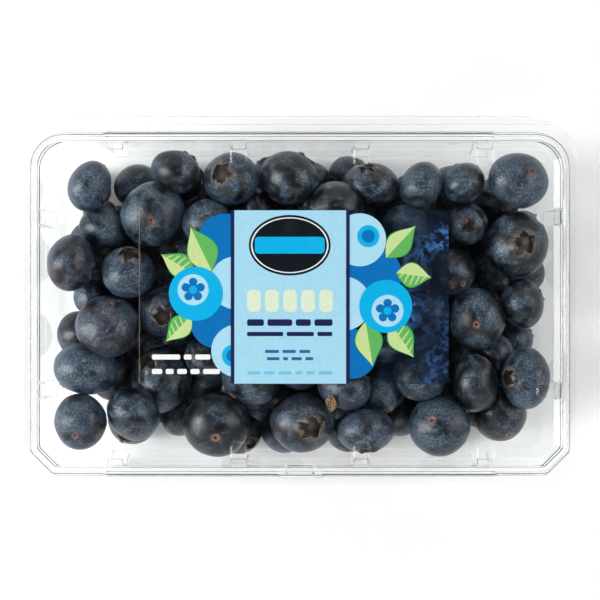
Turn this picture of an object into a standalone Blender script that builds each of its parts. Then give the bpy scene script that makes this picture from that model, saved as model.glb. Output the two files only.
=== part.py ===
"""A clamshell punnet of blueberries.

A thin clear tray with a flange, a matching lid on a hinge along the back, a label film on the
lid's sunk panel, and the heap of fruit that fills the tray up to the lid. +X runs along the
hinge, +Y points to the hinge, and the tray's floor lies at z = 0.
"""

import math
import random

import bmesh
import bpy
from mathutils import Vector

# Driving dimensions, in metres.
LENGTH = 0.187
FLANGE_DEPTH = 0.1208
OVERALL_DEPTH = 0.1235
SHEET = 0.0005
GAP = 0.0003
FLANGE_TOP = 0.026
FLANGE_WIDTH = 0.003
FLANGE_CORNER = 0.012

# Both shells: the corners beside the latch are cut off straight, those beside the hinge are round.
FRONT_CUT = 0.008
BACK_ROUND = 0.012
CORNER_POINTS = 6

# The tray's inner surface inside the flange, as (distance in from the flange's edge, height): the
# mouth, a ledge, the wall's two ends, a step and the floor. Flutes bow the wall's ends outwards.
TRAY_MOUTH = (0.0031, FLANGE_TOP)
TRAY_LEDGE_BACK = (0.0037, 0.0236)
TRAY_LEDGE = (0.0056, 0.0226)
TRAY_WALL_TOP = (0.0060, 0.0209)
TRAY_WALL_FOOT = (0.0097, 0.0049)
TRAY_STEP = (0.0101, 0.0032)
TRAY_FLOOR = (0.0127, SHEET)
FLUTE_WIDTH = 0.0049
FLUTE_FLANK = 0.0006
FLUTE_DEPTH = 0.0007

# The lid's upper surface: a steep wall, a rounded rim to stack on, and a panel sunk inside it.
LID_FLANGE_TOP = FLANGE_TOP + GAP + SHEET
LID_RIM_TOP = 0.038
LID_PANEL_TOP = 0.0352
LID_WALL_FOOT = (FLANGE_WIDTH, LID_FLANGE_TOP)
LID_WALL_TOP = (0.0041, 0.0366)
LID_RIM = ((0.0049, LID_RIM_TOP - 0.0002), (0.0059, LID_RIM_TOP), (0.0065, LID_RIM_TOP - 0.0004))
LID_PANEL = (0.0092, LID_PANEL_TOP)
WALL_SWELL = 0.0006
WALL_SWELL_END = 0.0640
LATCH_SWELL = 0.0012
LATCH_SWELL_WIDTH = 0.0136
SWELL_FLANK = 0.0018

# Vents stand opposite the flutes: four along each long side and two at each end.
VENTS_ALONG = 4
VENT_PITCH = 0.0409
END_VENT_PITCH = 0.0578
VENT_SLOT = 0.0025
VENT_FROM_PANEL = 0.0003
VENT_CUT_HEIGHT = 0.0080

# The latch button on the tray snaps into the swell of the lid's front wall.
BUTTON_WIDTH = 0.0110
BUTTON_THICKNESS = 0.0024
BUTTON_IN = 0.0034
BUTTON_FOOT = 0.0236
BUTTON_TOP = 0.0310
BUTTON_TAPER = 0.85
BUTTON_ROUND = 0.0007

HINGE_RADIUS = 0.0012
HINGE_LENGTH = 0.1690
HINGE_TAPER = 0.0030
SHARP_ANGLE = math.radians(35)

LABEL_LENGTH = 0.1030
LABEL_WIDTH = 0.0580
LABEL_MIDDLE = (-0.0021, 0.0010)
LABEL_CORNER = 0.0017
LABEL_THICKNESS = 0.0002

# The fruit: two staggered layers of berries round a core.
BERRY_RADIUS = 0.0090
BERRY_SPREAD = 0.0011
BERRY_SHIFT = 0.0012
FRUIT_CLEARANCE = 0.0010
FRUIT_FOOT = 0.0010
FRUIT_TOP = 0.0338
FRUIT_BY_LID = 0.0068
LOWER_ROWS = (8, 9, 8, 9, 8)
UPPER_ROWS = (9, 8, 9, 8, 9)
LOWER_HALF = (0.0700, 0.0375)
UPPER_HALF = (0.0745, 0.0425)
CORE_HALF = (0.0700, 0.0370)
CORE_HEIGHTS = (0.0040, 0.0240)
FRUIT_VOXEL = 0.0013
FRUIT_KEPT = 0.046
SEED = 7

HALF_LENGTH = LENGTH / 2
HALF_DEPTH = FLANGE_DEPTH / 2
FRONT_EDGE = -OVERALL_DEPTH / 2
SHELL_MIDDLE_Y = FRONT_EDGE + HALF_DEPTH
HINGE_Y = OVERALL_DEPTH / 2 - HINGE_RADIUS
HINGE_Z = FLANGE_TOP + GAP / 2

CLEAR_PLASTIC = {"color": (0.90, 0.92, 0.93, 1.0), "roughness": 0.08, "alpha": 0.30}
LABEL_PRINT = {"color": (0.38, 0.69, 0.86, 1.0), "roughness": 0.30, "alpha": 1.0}
FRUIT_SKIN = {"color": (0.020, 0.030, 0.055, 1.0), "roughness": 0.45, "alpha": 1.0}


def clear_scene():
    for obj in list(bpy.data.objects):
        bpy.data.objects.remove(obj, do_unlink=True)


def collection(name):
    group = bpy.data.collections.new(name)
    bpy.context.scene.collection.children.link(group)
    return group


def material(name, finish):
    made = bpy.data.materials.new(name)
    made.use_nodes = True
    shader = made.node_tree.nodes["Principled BSDF"]
    shader.inputs["Base Color"].default_value = finish["color"]
    shader.inputs["Roughness"].default_value = finish["roughness"]
    shader.inputs["Metallic"].default_value = 0.0
    shader.inputs["Alpha"].default_value = finish["alpha"]
    return made


def add_object(name, data, group, finish=None):
    obj = bpy.data.objects.new(name, data)
    group.objects.link(obj)
    if finish is not None:
        data.materials.append(finish)
    return obj


def mesh_of(name, build):
    """A mesh filled in by build, which is given an empty bmesh."""
    bm = bmesh.new()
    build(bm)
    bmesh.ops.recalc_face_normals(bm, faces=bm.faces)
    mesh = bpy.data.meshes.new(name)
    bm.to_mesh(mesh)
    bm.free()
    return mesh


def evenly(count, pitch):
    """Places with this pitch, centred on zero."""
    return [(index - (count - 1) / 2) * pitch for index in range(count)]


VENTS_LONG = evenly(VENTS_ALONG, VENT_PITCH)
VENTS_SHORT = evenly(2, END_VENT_PITCH)


def steps_round(places, width, flank):
    """The points along a side where a flute, swell or slot of this width begins and ends."""
    edges = (-width / 2 - flank, -width / 2, width / 2, width / 2 + flank)
    return [place + edge for place in places for edge in edges]


def ramp(distance, width, flank):
    """1 within the width, falling to 0 over the flank."""
    return min(1.0, max(0.0, 1 + (width / 2 - abs(distance)) / flank))


def corner(centre_x, centre_y, radius, start):
    """Points on a quarter circle, counterclockwise from the start angle."""
    turns = [start + math.pi / 2 * step / (CORNER_POINTS - 1) for step in range(CORNER_POINTS)]
    return [(centre_x + radius * math.cos(a), centre_y + radius * math.sin(a)) for a in turns]


def cut_corner(ends):
    """Points evenly along the straight cut between two ends."""
    (x0, y0), (x1, y1) = ends
    parts = [step / (CORNER_POINTS - 1) for step in range(CORNER_POINTS)]
    return [(x0 + (x1 - x0) * part, y0 + (y1 - y0) * part) for part in parts]


def outline(inset, along, across, cut, swell):
    """One ring of a shell, counterclockwise from the front left corner.

    along and across are the stations on the long sides and the ends. swell gives how far the
    ring stands out at a place on a side. A cut ring has straight front corners.
    """
    half_x = HALF_LENGTH - inset
    half_y = HALF_DEPTH - inset
    back = max(BACK_ROUND + FLANGE_WIDTH - inset, 0.001) if cut else FLANGE_CORNER
    front = FRONT_CUT - (inset - FLANGE_WIDTH) * (2 - math.sqrt(2)) if cut else FLANGE_CORNER
    if cut:
        left = cut_corner(((-half_x, front - half_y), (front - half_x, -half_y)))
        right = cut_corner(((half_x - front, -half_y), (half_x, front - half_y)))
    else:
        left = corner(front - half_x, front - half_y, front, math.pi)
        right = corner(half_x - front, front - half_y, front, -math.pi / 2)
    points = left
    points += [(x, -half_y - swell("front", x)) for x in along]
    points += right
    points += [(half_x + swell("end", y), y) for y in across]
    points += corner(half_x - back, half_y - back, back, 0)
    points += [(x, half_y + swell("back", x)) for x in reversed(along)]
    points += corner(back - half_x, half_y - back, back, math.pi / 2)
    points += [(-half_x - swell("end", y), y) for y in reversed(across)]
    return points


def loft(rings):
    """Builds the open surface through rings of (points, height), the last one filled in."""

    def build(bm):
        rows = []
        for points, height in rings:
            rows.append([bm.verts.new((x, y + SHELL_MIDDLE_Y, height)) for x, y in points])
        for upper, lower in zip(rows, rows[1:]):
            for index, point in enumerate(upper):
                after = (index + 1) % len(upper)
                bm.faces.new((point, upper[after], lower[after], lower[index]))
        bm.faces.new(rows[-1])

    return build


def no_swell(side, place):
    return 0.0


def flute(side, place):
    """The flutes of the tray's wall, one under each vent."""
    places = VENTS_SHORT if side == "end" else VENTS_LONG
    return FLUTE_DEPTH * max(ramp(place - spot, FLUTE_WIDTH, FLUTE_FLANK) for spot in places)


def lid_swell(side, place):
    """The lid's wall stands out between the end vents, and more in front of the latch."""
    if side == "end":
        return 0.0
    out = WALL_SWELL * ramp(place, 2 * WALL_SWELL_END, SWELL_FLANK)
    if side == "front":
        out = max(out, LATCH_SWELL * ramp(place, LATCH_SWELL_WIDTH, SWELL_FLANK))
    return out


def shell(name, rings, group, finish):
    """A thin sheet whose lofted side faces up, thickened downwards and outwards."""
    mesh = mesh_of(name, loft(rings))
    up = max(mesh.polygons, key=lambda polygon: polygon.area)
    if up.normal.z < 0:
        mesh.flip_normals()
    obj = add_object(name, mesh, group, finish)
    solid = obj.modifiers.new("thickness", "SOLIDIFY")
    solid.thickness = SHEET
    solid.offset = -1
    solid.use_even_offset = True
    solid.use_quality_normals = True
    return obj


def make_tray(group, helpers, finish):
    along = steps_round(VENTS_LONG, FLUTE_WIDTH, FLUTE_FLANK)
    across = steps_round(VENTS_SHORT, FLUTE_WIDTH, FLUTE_FLANK)

    def ring(inset, height, cut=True, swell=no_swell):
        return outline(inset, along, across, cut, swell), height

    rings = [
        ring(0.0, FLANGE_TOP, cut=False),
        ring(*TRAY_MOUTH),
        ring(*TRAY_LEDGE_BACK),
        ring(*TRAY_LEDGE),
        ring(*TRAY_WALL_TOP, swell=flute),
        ring(*TRAY_WALL_FOOT, swell=flute),
        ring(*TRAY_STEP),
        ring(*TRAY_FLOOR),
    ]
    tray = shell("tray", rings, group, finish)
    button = make_button(helpers)
    union = tray.modifiers.new("latch button", "BOOLEAN")
    union.operation = "UNION"
    union.object = button
    tray.data.set_sharp_from_angle(angle=SHARP_ANGLE)
    return tray


def make_button(helpers):
    """A tapered block that stands on the tray's front ledge."""
    height = BUTTON_TOP - BUTTON_FOOT

    def build(bm):
        bmesh.ops.create_cube(bm, size=1.0)
        for vert in bm.verts:
            taper = BUTTON_TAPER if vert.co.z > 0 else 1.0
            vert.co.x *= BUTTON_WIDTH * taper
            vert.co.y *= BUTTON_THICKNESS * taper
            vert.co.z *= height
        upright = [e for e in bm.edges if abs(e.verts[0].co.z - e.verts[1].co.z) > height / 2]
        bmesh.ops.bevel(bm, geom=upright, offset=BUTTON_ROUND, segments=2, profile=0.5, affect="EDGES")

    button = add_object("button_cutter", mesh_of("button_cutter", build), helpers)
    button.location = (
        0.0,
        FRONT_EDGE + BUTTON_IN + BUTTON_THICKNESS / 2,
        BUTTON_FOOT + height / 2,
    )
    hide(button)
    return button


def make_lid(group, helpers, finish):
    along = [-WALL_SWELL_END - SWELL_FLANK, -WALL_SWELL_END]
    along += steps_round([0.0], LATCH_SWELL_WIDTH, SWELL_FLANK)
    along += [WALL_SWELL_END, WALL_SWELL_END + SWELL_FLANK]

    def ring(inset, height, cut=True, swell=no_swell):
        return outline(inset, along, [], cut, swell), height

    rings = [
        ring(0.0, LID_FLANGE_TOP, cut=False),
        ring(*LID_WALL_FOOT, swell=lid_swell),
        ring(*LID_WALL_TOP, swell=lid_swell),
        *[ring(*row) for row in LID_RIM],
        ring(*LID_PANEL),
    ]
    lid = shell("lid", rings, group, finish)
    cut = lid.modifiers.new("vents", "BOOLEAN")
    cut.operation = "DIFFERENCE"
    cut.object = make_vent_cutter(helpers)
    lid.data.set_sharp_from_angle(angle=SHARP_ANGLE)
    return lid


def make_vent_cutter(helpers):
    """One slot through the inner slope of the rim at every vent."""
    middle = LID_PANEL[0] - VENT_SLOT / 2 - VENT_FROM_PANEL
    slots = []
    for x in VENTS_LONG:
        for side in (-1, 1):
            slots.append(((x, side * (HALF_DEPTH - middle)), (FLUTE_WIDTH, VENT_SLOT)))
    for y in VENTS_SHORT:
        for side in (-1, 1):
            slots.append(((side * (HALF_LENGTH - middle), y), (VENT_SLOT, FLUTE_WIDTH)))

    def build(bm):
        for (x, y), (wide, deep) in slots:
            made = bmesh.ops.create_cube(bm, size=1.0)["verts"]
            bmesh.ops.scale(bm, vec=(wide, deep, VENT_CUT_HEIGHT), verts=made)
            spot = Vector((x, y + SHELL_MIDDLE_Y, LID_PANEL_TOP))
            bmesh.ops.translate(bm, vec=spot, verts=made)

    cutter = add_object("vent_cutter", mesh_of("vent_cutter", build), helpers)
    hide(cutter)
    return cutter


def make_hinge(group, finish):
    """The folded edge that joins the two flanges, as a bead along the joint's axis."""
    half = HINGE_LENGTH / 2
    curve = bpy.data.curves.new("hinge", "CURVE")
    curve.dimensions = "3D"
    curve.bevel_depth = HINGE_RADIUS
    curve.bevel_resolution = 2
    curve.use_fill_caps = True
    spline = curve.splines.new("POLY")
    spline.points.add(3)
    for point, x, radius in zip(
        spline.points,
        (-half, HINGE_TAPER - half, half - HINGE_TAPER, half),
        (0.5, 1.0, 1.0, 0.5),
    ):
        point.co = (x, 0.0, 0.0, 1.0)
        point.radius = radius
    hinge = add_object("hinge", curve, group, finish)
    hinge.location = (0.0, HINGE_Y, HINGE_Z)
    return hinge


def make_label(group, finish):
    """A film with rounded right corners that lies on the lid's panel."""
    half_x = LABEL_LENGTH / 2
    half_y = LABEL_WIDTH / 2
    inner_x = half_x - LABEL_CORNER
    inner_y = half_y - LABEL_CORNER
    points = [(-half_x, half_y), (-half_x, -half_y)]
    points += corner(inner_x, -inner_y, LABEL_CORNER, -math.pi / 2)
    points += corner(inner_x, inner_y, LABEL_CORNER, 0)
    curve = bpy.data.curves.new("label", "CURVE")
    curve.dimensions = "2D"
    curve.fill_mode = "BOTH"
    curve.extrude = LABEL_THICKNESS / 2
    spline = curve.splines.new("POLY")
    spline.points.add(len(points) - 1)
    for point, (x, y) in zip(spline.points, points):
        point.co = (x, y, 0.0, 1.0)
    spline.use_cyclic_u = True
    label = add_object("label", curve, group, finish)
    label.location = (*LABEL_MIDDLE, LID_PANEL_TOP + GAP + LABEL_THICKNESS / 2)
    return label


def room(x, y, z):
    """How far a point inside the tray is from its walls, whose slope carries on up to the lid."""
    foot_inset, foot_height = TRAY_WALL_FOOT
    top_inset, top_height = TRAY_WALL_TOP
    slope = (foot_inset - top_inset) / (top_height - foot_height)
    inset = max(foot_inset - slope * (z - foot_height), FRUIT_BY_LID)
    from_end = HALF_LENGTH - inset - abs(x)
    from_side = HALF_DEPTH - inset - abs(y)
    from_corner = (from_end + from_side - FRONT_CUT) / math.sqrt(2)
    return min(from_end, from_side, from_corner) * math.cos(math.atan(slope))


def berries():
    """Places and radii of the two layers, staggered, jittered and kept clear of the walls."""
    rng = random.Random(SEED)
    found = []
    for rows, (half_x, half_y), upper in (
        (LOWER_ROWS, LOWER_HALF, False),
        (UPPER_ROWS, UPPER_HALF, True),
    ):
        for row, count in enumerate(rows):
            y_row = half_y * (2 * row / (len(rows) - 1) - 1)
            for column in range(count):
                span = half_x - (max(rows) - count) * BERRY_RADIUS / 2
                radius = BERRY_RADIUS + rng.uniform(-BERRY_SPREAD, BERRY_SPREAD)
                x = span * (2 * column / (count - 1) - 1) + rng.uniform(-1, 1) * BERRY_SHIFT
                y = y_row + rng.uniform(-1, 1) * BERRY_SHIFT
                drop = rng.uniform(0, 1) * BERRY_SHIFT
                z = FRUIT_TOP - radius - drop if upper else FRUIT_FOOT + radius
                while room(x, y, z) < radius + FRUIT_CLEARANCE:
                    x *= 0.99
                    y *= 0.99
                found.append((Vector((x, y + SHELL_MIDDLE_Y, z)), radius))
    return found


def make_fruit(group, finish):
    """Berries and core joined under one skin, the outer form of the heap."""
    low, high = CORE_HEIGHTS

    def build(bm):
        for centre, radius in berries():
            made = bmesh.ops.create_icosphere(bm, subdivisions=3, radius=radius)["verts"]
            bmesh.ops.translate(bm, vec=centre, verts=made)
        core = bmesh.ops.create_cube(bm, size=1.0)["verts"]
        bmesh.ops.scale(bm, vec=(2 * CORE_HALF[0], 2 * CORE_HALF[1], high - low), verts=core)
        bmesh.ops.translate(bm, vec=(0.0, SHELL_MIDDLE_Y, (low + high) / 2), verts=core)

    fruit = add_object("fruit", mesh_of("fruit", build), group, finish)
    skin = fruit.modifiers.new("one skin", "REMESH")
    skin.mode = "VOXEL"
    skin.voxel_size = FRUIT_VOXEL
    skin.use_smooth_shade = True
    fewer = fruit.modifiers.new("fewer faces", "DECIMATE")
    fewer.ratio = FRUIT_KEPT
    return fruit


def hide(obj):
    obj.hide_render = True
    obj.display_type = "WIRE"


def main():
    clear_scene()
    punnet = collection("blueberry_punnet")
    helpers = collection("helpers")
    clear = material("clear_plastic", CLEAR_PLASTIC)
    make_tray(punnet, helpers, clear)
    make_lid(punnet, helpers, clear)
    make_hinge(punnet, clear)
    make_label(punnet, material("label_print", LABEL_PRINT))
    make_fruit(punnet, material("fruit_skin", FRUIT_SKIN))


main()
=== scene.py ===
"""Looks of a clamshell punnet of blueberries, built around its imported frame.

Lengths are in metres and colours are given as sRGB bytes, turned to linear by srgb(). The two clear
shells, the folded hinge, the label and every berry are modelled here; nothing is moved in the frame.
"""

import math
import random

import bmesh
import bpy
import numpy as np
from mathutils import Matrix, Vector, noise


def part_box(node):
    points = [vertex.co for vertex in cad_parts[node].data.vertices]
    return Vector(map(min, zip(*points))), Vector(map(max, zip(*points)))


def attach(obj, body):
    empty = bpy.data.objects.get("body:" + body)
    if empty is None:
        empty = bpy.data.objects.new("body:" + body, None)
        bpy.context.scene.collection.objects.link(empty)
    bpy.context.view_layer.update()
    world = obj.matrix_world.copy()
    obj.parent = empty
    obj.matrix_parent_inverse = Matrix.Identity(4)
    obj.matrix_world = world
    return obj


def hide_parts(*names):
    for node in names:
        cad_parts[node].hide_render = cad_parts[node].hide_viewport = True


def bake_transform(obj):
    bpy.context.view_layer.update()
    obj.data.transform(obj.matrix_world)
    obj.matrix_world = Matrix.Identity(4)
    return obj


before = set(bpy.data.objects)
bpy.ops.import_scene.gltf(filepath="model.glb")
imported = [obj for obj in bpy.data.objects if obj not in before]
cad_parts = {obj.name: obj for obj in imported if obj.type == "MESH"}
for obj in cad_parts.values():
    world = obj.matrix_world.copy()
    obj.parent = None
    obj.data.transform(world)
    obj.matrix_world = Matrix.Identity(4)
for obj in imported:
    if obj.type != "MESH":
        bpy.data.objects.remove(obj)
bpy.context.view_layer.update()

bl_info = {
    "name": "Blueberry Punnet",
    "version": (1, 0, 0),
    "blender": (4, 5, 0),
    "location": "View3D > Sidebar > Punnet",
    "description": "Builds a clear clamshell punnet with its label and its heap of blueberries",
    "category": "Add Mesh",
}

MM = 0.001
TRAY_LOW, TRAY_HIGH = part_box("tray")
RIM_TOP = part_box("lid")[1].z
HINGE_LOW, HINGE_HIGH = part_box("hinge")
LABEL_LOW, LABEL_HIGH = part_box("label")

# The shells share one outline, the flange's, and one middle.
HALF_LENGTH = (TRAY_HIGH.x - TRAY_LOW.x) / 2
HALF_DEPTH = (TRAY_HIGH.y - TRAY_LOW.y) / 2
MIDDLE_Y = (TRAY_HIGH.y + TRAY_LOW.y) / 2
FLANGE_TOP = 26.0 * MM
FLANGE_WIDTH = 3.0 * MM
FLANGE_CORNER = 12.0 * MM
FLANGE_GAP = 0.3 * MM
FRONT_CUT = 8.0 * MM
BACK_ROUND = 12.0 * MM
PANEL_TOP = 35.2 * MM
VENTS_LONG = tuple((step - 1.5) * 40.9 * MM for step in range(4))
VENTS_SHORT = (-28.9 * MM, 28.9 * MM)
VENT_WIDTH = 4.9 * MM
VENT_FLANK = 0.8 * MM
LATCH_WIDTH = 13.6 * MM
LATCH_FLANK = 2.0 * MM
# Lower than a real sheet's, so that the formed edges stay as light as they look under soft light.
CLEAR_IOR = 1.3
LABEL_CORNER = 1.7 * MM
HINGE_Y = (HINGE_LOW.y + HINGE_HIGH.y) / 2
HINGE_Z = (HINGE_LOW.z + HINGE_HIGH.z) / 2
HINGE_RADIUS = (HINGE_HIGH.z - HINGE_LOW.z) / 2


def srgb(red, green, blue):
    """A colour given as sRGB bytes, as linear RGBA."""

    def linear(byte):
        part = byte / 255
        return part / 12.92 if part <= 0.04045 else ((part + 0.055) / 1.055) ** 2.4

    return (linear(red), linear(green), linear(blue), 1.0)


def colour_property(name, description, red, green, blue):
    return bpy.props.FloatVectorProperty(
        name=name,
        description=description,
        subtype="COLOR",
        size=4,
        min=0.0,
        max=1.0,
        default=srgb(red, green, blue),
    )


def length_property(name, description, default, low=0.0):
    return bpy.props.FloatProperty(
        name=name,
        description=description,
        default=default,
        min=low,
        unit="LENGTH",
        precision=4,
    )


class PUNNET_PG_shell(bpy.types.PropertyGroup):
    """Sizes and finish of the clear sheet."""

    sheet: length_property("Sheet", "Thickness of the clear sheet", 0.45 * MM, 0.1 * MM)
    edge_radius: length_property("Edge Radius", "Radius of the formed edges", 0.5 * MM, 0.05 * MM)
    tint: colour_property("Tint", "Colour of the clear sheet", 254, 255, 255)
    roughness: bpy.props.FloatProperty(
        name="Roughness", description="Roughness of the clear sheet", default=0.015, min=0.0, max=1.0
    )


class PUNNET_PG_fruit(bpy.types.PropertyGroup):
    """Colours and spread of the berries."""

    skin: colour_property("Skin", "Colour of bare skin", 3, 5, 10)
    ripe: colour_property("Purple Skin", "Colour of the redder berries", 28, 17, 25)
    bloom: colour_property("Bloom", "Colour of the waxy bloom", 98, 124, 148)
    crown: colour_property("Crown", "Colour of the dry crown", 92, 76, 64)
    # The dark inside of the crown and of the stem scar: partly their own dark colour, partly painted
    # shade of the hollow.
    shaded_bowl: colour_property("Shaded Bowl", "Colour inside the crown", 20, 16, 16)
    seed: bpy.props.IntProperty(
        name="Seed", description="Changes the shapes and turns of the berries", default=11, min=0
    )


class PUNNET_PG_label(bpy.types.PropertyGroup):
    """Colours of the label's print."""

    panel: colour_property("Panel", "Pale field in the middle", 165, 217, 238)
    navy: colour_property("Navy", "Stripes and bars", 27, 33, 82)
    ink: colour_property("Ink", "Plaque", 9, 18, 26)
    blue: colour_property("Blue", "Darker discs", 0, 112, 184)
    cyan: colour_property("Cyan", "Brighter discs", 0, 176, 230)
    pale: colour_property("Pale", "Pale discs", 170, 220, 240)
    leaf_light: colour_property("Light Leaf", "Light half and stripes of a leaf", 198, 221, 150)
    leaf_mid: colour_property("Mid Leaf", "Dark half of a leaf", 98, 180, 94)
    leaf_dark: colour_property("Leaf Edge", "Thin rim round a leaf", 38, 152, 62)
    cream: colour_property("Cream", "Row of pale green blocks", 221, 235, 208)


class PUNNET_PG_stage(bpy.types.PropertyGroup):
    """Floor, lamps and camera."""

    floor: colour_property("Floor", "Colour of the floor", 255, 255, 255)
    key: bpy.props.FloatProperty(
        name="Key", description="Power of the big lamp on the left, in watts", default=12.4, min=0.0
    )
    fill: bpy.props.FloatProperty(
        name="Fill", description="Power of each other lamp, in watts", default=2.5, min=0.0
    )
    surround: bpy.props.FloatProperty(
        name="Surround", description="Brightness of the white surround", default=0.66, min=0.0
    )
    camera_height: length_property("Camera Height", "Height of the camera over the flange", 0.84, 0.1)
    lens: bpy.props.FloatProperty(name="Lens", description="Focal length, in mm", default=150.0, min=10.0)


# ---------------------------------------------------------------------------------------------
# Shared mesh helpers


def new_mesh(name, build, smooth=True):
    """A mesh object filled in by build, which is given an empty bmesh."""
    bm = bmesh.new()
    build(bm)
    mesh = bpy.data.meshes.new(name)
    bm.to_mesh(mesh)
    bm.free()
    if smooth:
        mesh.shade_smooth()
    obj = bpy.data.objects.new(name, mesh)
    bpy.context.scene.collection.objects.link(obj)
    return obj


def join_rings(bm, rings):
    """Faces between closed rings of verts."""
    for first, second in zip(rings, rings[1:]):
        for index, point in enumerate(first):
            after = (index + 1) % len(first)
            bm.faces.new((point, first[after], second[after], second[index]))


def close_loft(bm, rings):
    """Faces between closed rings of verts, and over the first and the last one."""
    join_rings(bm, rings)
    bm.faces.new(rings[0])
    bm.faces.new(rings[-1][::-1])
    bmesh.ops.recalc_face_normals(bm, faces=bm.faces)


def smoothstep(value):
    part = min(1.0, max(0.0, value))
    return part * part * (3 - 2 * part)


def swell(distance, width, flank):
    """1 within the width, falling smoothly to 0 over the flank."""
    return smoothstep(1 + (width / 2 - abs(distance)) / flank)


def evenly(low, high, count):
    return [low + (high - low) * step / (count - 1) for step in range(count)]


def rounded_profile(points, radius, steps=4):
    """The (inset, height) polyline with its inner points rounded off."""
    found = [points[0]]
    for before, here, after in zip(points, points[1:], points[2:]):
        here_v = Vector(here)
        back = Vector(before) - here_v
        ahead = Vector(after) - here_v
        reach = min(radius, back.length * 0.45, ahead.length * 0.45)
        start = here_v + back.normalized() * reach
        end = here_v + ahead.normalized() * reach
        for step in range(steps + 1):
            part = step / steps
            mixed = (1 - part) ** 2 * start + 2 * part * (1 - part) * here_v + part**2 * end
            found.append((mixed.x, mixed.y))
    found.append(points[-1])
    return found


def quarter(centre_x, centre_y, radius, start, count):
    turns = [start + math.pi / 2 * step / (count - 1) for step in range(count)]
    return [(centre_x + radius * math.cos(turn), centre_y + radius * math.sin(turn)) for turn in turns]


def cut_corner(side_x, side_y, leg, turned):
    """A straight cut across the corner at (side_x, side_y), its own two corners rounded."""
    ahead = min(2.4 * MM, leg * 0.4 + 0.3 * MM)
    toward_x = -math.copysign(1, side_x)
    toward_y = -math.copysign(1, side_y)
    points = [
        (side_x, side_y + toward_y * (leg + ahead)),
        (side_x, side_y + toward_y * leg),
        (side_x + toward_x * leg, side_y),
        (side_x + toward_x * (leg + ahead), side_y),
    ]
    rounded = rounded_profile(points, 2.4 * MM, 5)
    return rounded[::-1] if turned else rounded


def outline(inset, along, across, cut, shift, count=14):
    """One ring of a shell at this distance in from the flange's edge, counterclockwise.

    cut is 0 for the flange's round corners and 1 for the straight front corners of the walls.
    shift(side, place) is how far the ring stands out there.
    """
    half_x = HALF_LENGTH - inset
    half_y = HALF_DEPTH - inset
    back = FLANGE_CORNER if cut == 0 else max(BACK_ROUND + FLANGE_WIDTH - inset, 1.5 * MM)
    if cut == 0:
        front = FLANGE_CORNER
        left = quarter(front - half_x, front - half_y, front, math.pi, count)
        right = quarter(half_x - front, front - half_y, front, -math.pi / 2, count)
    else:
        front = FRONT_CUT - (inset - FLANGE_WIDTH) * (2 - math.sqrt(2))
        left = cut_corner(-half_x, -half_y, front, False)
        right = cut_corner(half_x, -half_y, front, True)
    points = left
    points += [(x, -half_y - shift("front", x)) for x in along]
    points += right
    points += [(half_x + shift("end", y), y) for y in across]
    points += quarter(half_x - back, half_y - back, back, 0, count)
    points += [(x, half_y + shift("back", x)) for x in reversed(along)]
    points += quarter(back - half_x, half_y - back, back, math.pi / 2, count)
    points += [(-half_x - shift("end", y), y) for y in reversed(across)]
    return points


def offset_profile(points, distance):
    """The (inset, height) polyline moved to the underside of the sheet that it is the top of."""
    found = []
    for index, here in enumerate(points):
        before = Vector(points[max(index - 1, 0)])
        after = Vector(points[min(index + 1, len(points) - 1)])
        into = (Vector(here) - before).normalized() if index else (after - Vector(here)).normalized()
        out = (after - Vector(here)).normalized() if index < len(points) - 1 else into
        along = (into + out).normalized()
        reach = distance / max(along.dot(out), 0.6)
        found.append((here[0] + along.y * reach, here[1] - along.x * reach))
    return found


def sheet_shell(name, profile, ring_at, thickness):
    """A thin closed sheet whose upper side follows the profile; ring_at(inset, height) is one ring."""
    edge, inner = profile[0], profile[1:]
    below = offset_profile(profile, thickness)[1:]
    rings = [ring_at(*place) for place in reversed(inner)]
    rings += [ring_at(*edge), ring_at(edge[0], edge[1] - thickness)]
    rings += [ring_at(*place) for place in below]

    def build(bm):
        rows = [[bm.verts.new((x, y + MIDDLE_Y, height)) for x, y, height in ring] for ring in rings]
        close_loft(bm, rows)

    shell = new_mesh(name, build)
    shell.data.set_sharp_from_angle(angle=math.radians(60))
    return shell


def carve(obj, cutter_build):
    """Cuts the closed bodies that cutter_build makes out of obj, and drops the cutter."""
    cutter = new_mesh("cutter", cutter_build)
    cut = obj.modifiers.new("cut", "BOOLEAN")
    cut.operation = "DIFFERENCE"
    cut.object = cutter
    bake_modifiers(obj)
    bpy.data.objects.remove(cutter)


def bake_modifiers(obj):
    """Replaces the object's mesh by what its modifiers make of it."""
    graph = bpy.context.evaluated_depsgraph_get()
    baked = bpy.data.meshes.new_from_object(obj.evaluated_get(graph))
    obj.modifiers.clear()
    old = obj.data
    obj.data = baked
    bpy.data.meshes.remove(old)


# ---------------------------------------------------------------------------------------------
# Shared shader node groups


def new_group(name, inputs, outputs):
    """An empty shader group with float or colour sockets: inputs as (name, kind, default)."""
    group = bpy.data.node_groups.new(name, "ShaderNodeTree")
    for socket, kind, default in inputs:
        made = group.interface.new_socket(socket, in_out="INPUT", socket_type=kind)
        made.default_value = default
    for socket, kind in outputs:
        group.interface.new_socket(socket, in_out="OUTPUT", socket_type=kind)
    nodes = group.nodes
    return group, nodes.new("NodeGroupInput"), nodes.new("NodeGroupOutput")


def feed(tree, value, socket):
    """Sets an input to a value, or links another node's output to it."""
    if isinstance(value, bpy.types.NodeSocket):
        tree.links.new(value, socket)
    else:
        socket.default_value = value


def object_place(tree):
    return tree.nodes.new("ShaderNodeTexCoord").outputs["Object"]


def noise_node(tree, place, scale, detail=2.0, roughness=0.5, distortion=0.0):
    node = tree.nodes.new("ShaderNodeTexNoise")
    node.inputs["Scale"].default_value = scale
    node.inputs["Detail"].default_value = detail
    node.inputs["Roughness"].default_value = roughness
    node.inputs["Distortion"].default_value = distortion
    tree.links.new(place, node.inputs["Vector"])
    return node.outputs["Fac"]


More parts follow.
